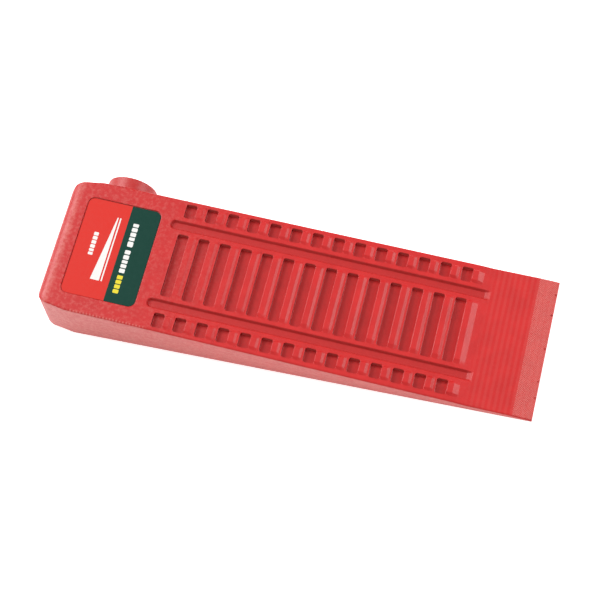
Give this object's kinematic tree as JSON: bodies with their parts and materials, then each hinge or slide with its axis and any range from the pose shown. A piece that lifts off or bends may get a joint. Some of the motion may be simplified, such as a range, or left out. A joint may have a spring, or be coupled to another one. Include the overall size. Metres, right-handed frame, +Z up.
{
  "type": "felling wedge",
  "caption": "Solid nylon felling wedge with barbed rows and two long grooves on its sloping face, a round boss on one side of the head and a label set in a recess.",
  "frame": {"origin": "middle of the flat underside", "axes": "+X from the striking face to the tip edge, +Y to the side with the boss, +Z up out of the underside"},
  "size_m": [0.252, 0.0807, 0.0258],
  "materials": {
    "nylon": "satin moulded nylon, red right through",
    "label_print": "printed self-adhesive film, red with a dark green end panel"
  },
  "bodies": {
    "root": {"wedge_body": "nylon", "label": "label_print"}
  },
  "joints": []
}
